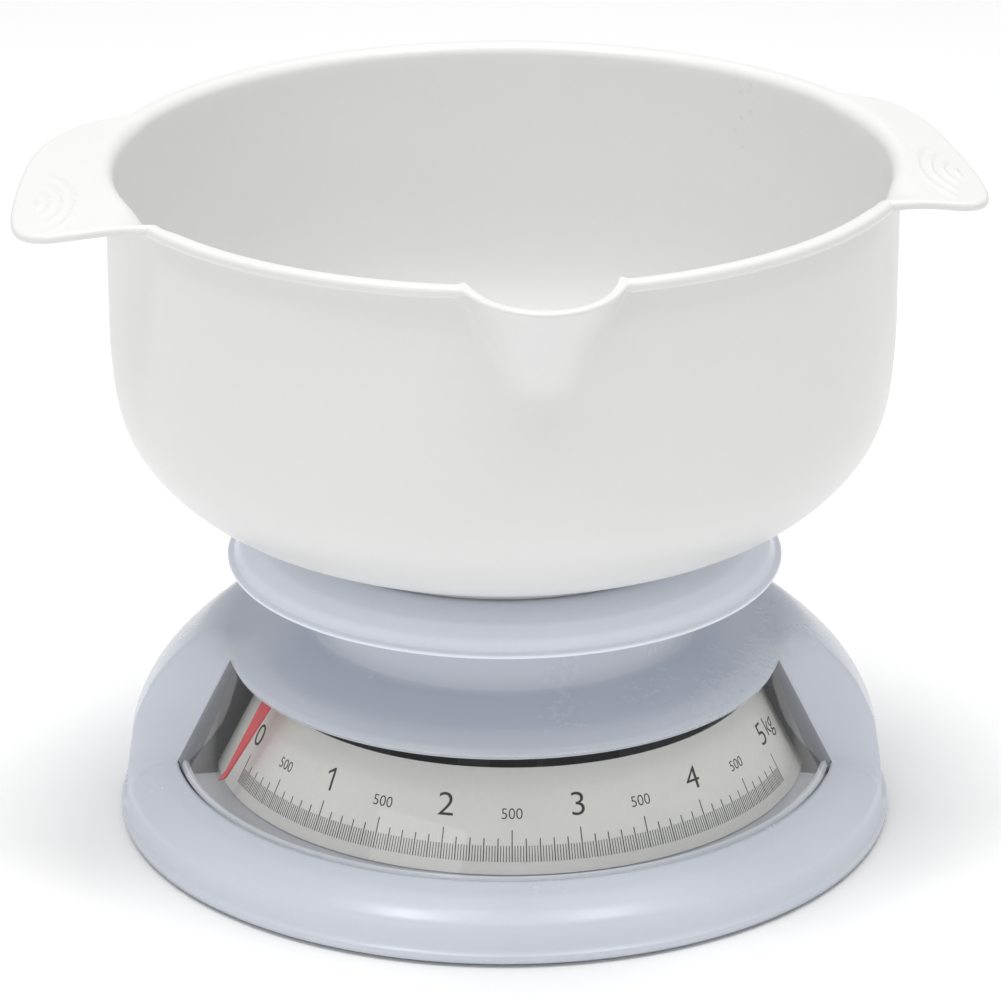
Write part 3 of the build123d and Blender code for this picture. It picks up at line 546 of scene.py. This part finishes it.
# ------------------------------------------------------------------- housing
FRONT_LOW = [(105.35, 1.25, 0), (105.35, 3.3, 0.4), (104.0, 3.9, 0.3), (103.75, 10.6, 2.2), (100.4, 13.3, 6),
             (96.0, 15.9, 8), (90.5, 17.7, 0)]
HOOD_LOW = [(105.35, 1.25, 0), (105.35, 3.3, 0.4), (104.0, 3.9, 0.3), (103.5, 10.8, 6), (103.0, 15.2, 0)]
HOOD_HIGH = [(103.0, 15.2), (102.2, 20.3), (101.5, 24.7), (100.0, 29.0), (97.8, 33.4), (94.9, 37.7),
             (91.0, 42.1), (86.9, 46.0), (82.3, 49.6), (77.5, 51.0), (72.0, 50.4)]
FRONT_TOP = [(75.4, 46.7, 0), (68.8, 50.3, 1.6), (53.2, 53.9, 0)]
HOOD_TOP = [(72.0, 50.4), (66.0, 51.0), (60.0, 52.4), (53.2, 53.9)]
COLLAR = [(53.2, 53.9, 0), (52.4, 54.7, 0.6), (52.0, 66.0, 1.2), (9.0, 66.0, 0)]
LOW_ROWS, WINDOW_ROWS, TOP_ROWS = 26, 26, 14
LAND = 1.1                          # degrees of plain rim at each side of the window
HOOD_END_LOW, HOOD_END_HIGH = 85.3, 89.5


def housing():
    """Casing: the front profile and the hood's profile at every azimuth, with slanted flats between them."""
    front = np.vstack([evenly(rounded(FRONT_LOW), LOW_ROWS), evenly([WINDOW_BOTTOM, WINDOW_TOP], WINDOW_ROWS)[1:],
                       evenly(rounded(FRONT_TOP), TOP_ROWS)[1:]])
    hood = np.vstack([evenly(rounded(HOOD_LOW), LOW_ROWS), smooth(HOOD_HIGH, WINDOW_ROWS)[1:],
                      smooth(HOOD_TOP, TOP_ROWS)[1:]])
    rows = len(front)
    end = np.interp(np.arange(rows), [0, LOW_ROWS - 1, LOW_ROWS + WINDOW_ROWS - 2, rows - 1],
                    [HOOD_END_LOW, HOOD_END_LOW, HOOD_END_HIGH, HOOD_END_HIGH + 2])[:, None]
    glass = np.linspace(-WINDOW_HALF, WINDOW_HALF, 129)
    land = WINDOW_HALF + LAND
    s = np.linspace(0, 1, 11)[None, :]
    flat = land + (end - land) * s
    behind = end + (360 - 2 * end) * np.linspace(0, 1, 121)[None, :]
    ones = np.ones((rows, 1))
    azimuth = np.hstack([ones * glass, flat, behind[:, 1:-1], 360 - flat[:, ::-1]])
    ease = s + 0.16 * np.sin(pi * s) * s
    share = np.hstack([0 * glass[None, :], ease, np.ones((1, 119)), ease[:, ::-1]])
    radius = front[:, :1] * (1 - share) + hood[:, :1] * share
    height = front[:, 1:] * (1 - share) + hood[:, 1:] * share
    collar = rounded(COLLAR)[1:]
    radius = np.vstack([radius, np.broadcast_to(collar[:, :1], (len(collar), azimuth.shape[1]))])
    height = np.vstack([height, np.broadcast_to(collar[:, 1:], (len(collar), azimuth.shape[1]))])
    azimuth = np.vstack([azimuth, np.broadcast_to(azimuth[-1:], (len(collar), azimuth.shape[1]))])
    points = place(radius, height, azimuth)
    keep = np.ones((len(points) - 1, azimuth.shape[1]), bool)
    keep[LOW_ROWS - 1:LOW_ROWS + WINDOW_ROWS - 2, :len(glass) - 1] = False
    mesh = grid_mesh("casing", points, wrap_columns=True, keep=keep)
    piece = finish_mesh("casing", mesh, FINISHES["casing_white"], "base", ["housing"])
    wall(piece, 2.2)
    return piece


def cone_panel(name, t, depth, azimuth, finish, slot, replaced=(), shift=0.0):
    """Closed loop of (t, depth) places on the cones, carried along the azimuths, with flat ends."""
    radius, height = on_cone(t, depth)
    points = place(radius[:, None], height[:, None], np.asarray(azimuth)[None, :])
    middle = points.mean(axis=0, keepdims=True)
    ends = [np.broadcast_to(middle[:, :1], points[:, :1].shape), points,
            np.broadcast_to(middle[:, -1:], points[:, :1].shape)]
    points = np.concatenate(ends, axis=1)
    points[..., 0] += shift
    return finish_mesh(name, grid_mesh(name, points, wrap_rows=True), finish, "base", replaced)


def loop(t0, t1, depth0, depth1, fillet):
    """Rounded rectangle of (t, depth) places."""
    middle = (t0 + t1) / 2
    corners = [(middle, depth0, 0), (t1, depth0, fillet), (t1, depth1, fillet), (t0, depth1, fillet),
               (t0, depth0, fillet), (middle, depth0, 0)]
    return rounded(corners, 3)[:-1].T


def window():
    """Clear curved window with softened edges, set in its opening with a hair's gap."""
    t, depth = loop(0.22, SLOPE_LENGTH - 0.22, 0.1, 1.5, 0.3)
    azimuth = np.linspace(-WINDOW_HALF + 0.16, WINDOW_HALF - 0.16, 129)
    cone_panel("dial_window", t, depth, azimuth, FINISHES["clear_window"], "clear_window", ["window_lens"])


def window_frame():
    """Ledges that carry the window, above and below, in a lighter copy of the casing colour as painted light, and a
    cheek at each side painted dark grey as painted shade.
    """
    span = np.linspace(-WINDOW_HALF, WINDOW_HALF, 129)
    low = loop(-0.6, 1.2, 1.55, 3.0, 0.2)
    high = loop(SLOPE_LENGTH - 1.2, SLOPE_LENGTH + 0.4, 1.55, 3.0, 0.2)
    # The ledges take the lighter copy of the casing colour: painted light
    cone_panel("window_ledge_low", *low, span, LEDGE_PAINTED_LIGHT, "casing_white")
    cone_panel("window_ledge_high", *high, span, LEDGE_PAINTED_LIGHT, "casing_white")
    for name, side in (("left", -1), ("right", 1)):
        t = np.linspace(-0.4, SLOPE_LENGTH, 40)[:, None]
        deep = np.interp(t, [-0.4, 2, 8.5, 15, 20, 28, 31, SLOPE_LENGTH], [2.4, 3.1, 5.2, 6.3, 6.0, 4.5, 3.2, 1.6])
        depth = 0.15 + (deep - 0.15) * np.linspace(0, 1, 10)[None, :]
        radius, height = on_cone(t, depth)
        points = place(radius, height, side * (WINDOW_HALF + 0.02))
        # Each cheek is painted dark grey: painted shade
        piece = finish_mesh(f"window_cheek_{name}", grid_mesh("cheek", points), CHEEK_PAINTED_SHADE, "base")
        solid = wall(piece, 1.0)
        solid.offset = 0


# ---------------------------------------------------------------- dial print
def on_card(x, y, azimuth, t, proud):
    """Wrap flat print onto the card: x runs round it, y up its slope, and proud stands off it."""
    radius, height = on_cone(t + y, CARD_DEPTH - proud)
    middle = on_cone(t, CARD_DEPTH)[0]
    points = place(radius, height, azimuth + np.degrees(x / middle))
    points[..., 0] += DIAL_SHIFT
    return points


def ticks():
    """One thin raised bar for each 20 g, longer at each 100 g and longest at each half kilogram."""
    count = FULL_LOAD * TICKS_PER_KG
    number = np.arange(count + 1)
    top = np.full(count + 1, TICK_TOPS[1])
    width = np.full(count + 1, 0.19)
    for every in (5, 25, 50):
        top = np.where(number % every == 0, TICK_TOPS[every], top)
    width = np.where(number % 5 == 0, 0.27, width)
    corner = np.array([(i, j, k) for i in (-0.5, 0.5) for j in (0, 1) for k in (0, 1)])
    x = corner[None, :, 0] * width[:, None]
    y = corner[None, :, 1] * (top[:, None] - TICK_FOOT)
    proud = -0.03 + 0.07 * corner[None, :, 2]
    azimuth = DIAL_ZERO + DIAL_SWEEP * number[:, None] / count
    points = on_card(x, y, azimuth, TICK_FOOT, proud).reshape(-1, 3)
    box = np.array([(0, 1, 3, 2), (4, 6, 7, 5), (0, 4, 5, 1), (2, 3, 7, 6), (0, 2, 6, 4), (1, 5, 7, 3)])
    faces = (number[:, None, None] * 8 + box[None]).reshape(-1, 4)
    mesh = bpy.data.meshes.new("dial_ticks")
    mesh.from_pydata((points * MM).tolist(), [], faces.tolist())
    return finish_mesh("dial_ticks", mesh, INK, "base")


def lettering(text, size, squeeze):
    """Flat mesh of a text, centred, as points (x, y, proud) and faces, in millimetres."""
    line = bpy.data.curves.new("lettering", "FONT")
    line.body = text
    line.size = size
    line.align_x, line.align_y = "CENTER", "CENTER"
    line.extrude = 0.035
    line.offset = -0.008 * size
    holder = bpy.data.objects.new("lettering", line)
    bpy.context.scene.collection.objects.link(holder)
    bpy.context.view_layer.update()
    mesh = bpy.data.meshes.new_from_object(holder.evaluated_get(bpy.context.evaluated_depsgraph_get()))
    bpy.data.objects.remove(holder)
    points = np.zeros(len(mesh.vertices) * 3)
    mesh.vertices.foreach_get("co", points)
    points = points.reshape(-1, 3)
    points[:, 0] = (points[:, 0] - (points[:, 0].min() + points[:, 0].max()) / 2) * squeeze
    points[:, 1] -= (points[:, 1].min() + points[:, 1].max()) / 2
    faces = [tuple(face.vertices) for face in mesh.polygons]
    return points, faces


def figure_one():
    """A one with its flag, drawn as a flat outline."""
    outline = np.array([(0.35, -3.1), (1.0, -3.1), (1.0, 3.1), (0.45, 3.1), (-1.3, 1.75), (-1.3, 1.0), (0.35, 2.2)])
    count = len(outline)
    points = np.vstack([np.column_stack([outline, np.full(count, p)]) for p in (-0.035, 0.035)])
    ring = np.arange(count)
    sides = np.stack([ring, np.roll(ring, -1), np.roll(ring, -1) + count, ring + count], -1)
    return points, [tuple(ring[::-1].tolist()), tuple((ring + count).tolist())] + [tuple(f) for f in sides.tolist()]


def numerals():
    """Kilogram figures, the half-kilogram marks and the unit, wrapped onto the card."""
    labels = [(str(kg), kg, 8.9, 1.12, 19.6, 0.0) for kg in range(FULL_LOAD + 1)]
    labels += [("500", kg + 0.5, 4.1, 0.95, 17.8, 0.0) for kg in range(FULL_LOAD)]
    labels += [("kg", FULL_LOAD, 7.8, 0.95, 19.0, 7.0)]
    for text, kg, size, squeeze, t, along in labels:
        flat, faces = figure_one() if text == "1" else lettering(text, size, squeeze)
        azimuth = DIAL_ZERO + DIAL_SWEEP * kg / FULL_LOAD
        points = on_card(flat[:, 0] + along, flat[:, 1], azimuth, t, flat[:, 2])
        mesh = bpy.data.meshes.new("numeral")
        mesh.from_pydata((points * MM).tolist(), [], faces)
        name = f"numeral_{text}" if text != "500" else f"numeral_half_{int(kg)}"
        finish_mesh(name, mesh, INK, "base")


# -------------------------------------------------------------------- studio
def softbox(name, azimuth, elevation, distance, width, height, power):
    """Rectangular light that faces the scale."""
    light = bpy.data.lights.new(name, "AREA")
    light.shape = "RECTANGLE"
    light.size, light.size_y = width, height
    light.energy = power
    holder = bpy.data.objects.new(name, light)
    a, e = radians(azimuth), radians(elevation)
    target = Vector((0, 0, 0.08))
    offset = Vector((sin(a) * cos(e), -cos(a) * cos(e), sin(e))) * distance
    holder.location = target + offset
    holder.rotation_euler = (-offset).to_track_quat("-Z", "Y").to_euler()
    bpy.context.scene.collection.objects.link(holder)


def studio():
    """Plain pale floor, an even white surround and five softboxes."""
    world = bpy.data.worlds.new("surround")
    bpy.context.scene.world = world
    world.use_nodes = True
    world.node_tree.nodes["Background"].inputs[0].default_value = (1.0, 1.0, 1.0, 1.0)
    world.node_tree.nodes["Background"].inputs[1].default_value = 0.58
    softbox("softbox_left", -52, 66, 1.7, 0.3, 0.3, 3.5)
    softbox("softbox_right", 52, 66, 1.7, 0.3, 0.3, 2.5)
    softbox("softbox_top", 0, 84, 1.8, 1.6, 1.6, 8)
    softbox("softbox_above", 0, 89, 1.6, 0.5, 0.5, 8)
    softbox("softbox_front", -30, 18, 2.2, 1.2, 0.5, 2.5)
    reach = 3.0
    grid = np.stack(np.meshgrid([-reach, reach], [-reach, reach], [0.0], indexing="ij"), -1)[:, :, 0]
    mesh = grid_mesh("floor", grid / MM)
    floor = bpy.data.objects.new("floor", mesh)
    bpy.context.scene.collection.objects.link(floor)
    f = Finish("floor_white")
    base = f.blend(f.noise(3.0), colour(252, 252, 252), colour(255, 255, 255))
    mesh.materials.append(f.done(f.shade(Base_Color=base, Roughness=0.9)))
    bpy.context.scene.view_settings.view_transform = "Standard"


def camera():
    """Long lens, 21.5 degrees above the horizon."""
    lens = bpy.data.cameras.new("camera")
    lens.lens = 180.0
    lens.sensor_width = 36.0
    lens.clip_end = 20.0
    holder = bpy.data.objects.new("camera", lens)
    holder.location = (-0.0002, -1.2569, 0.5830)
    holder.rotation_euler = (radians(90 - 21.509), 0, radians(0.042))
    bpy.context.scene.collection.objects.link(holder)
    bpy.context.scene.camera = holder


dress_nodes()
bowl()
tray()
housing()
window()
window_frame()
ticks()
numerals()
studio()
camera()
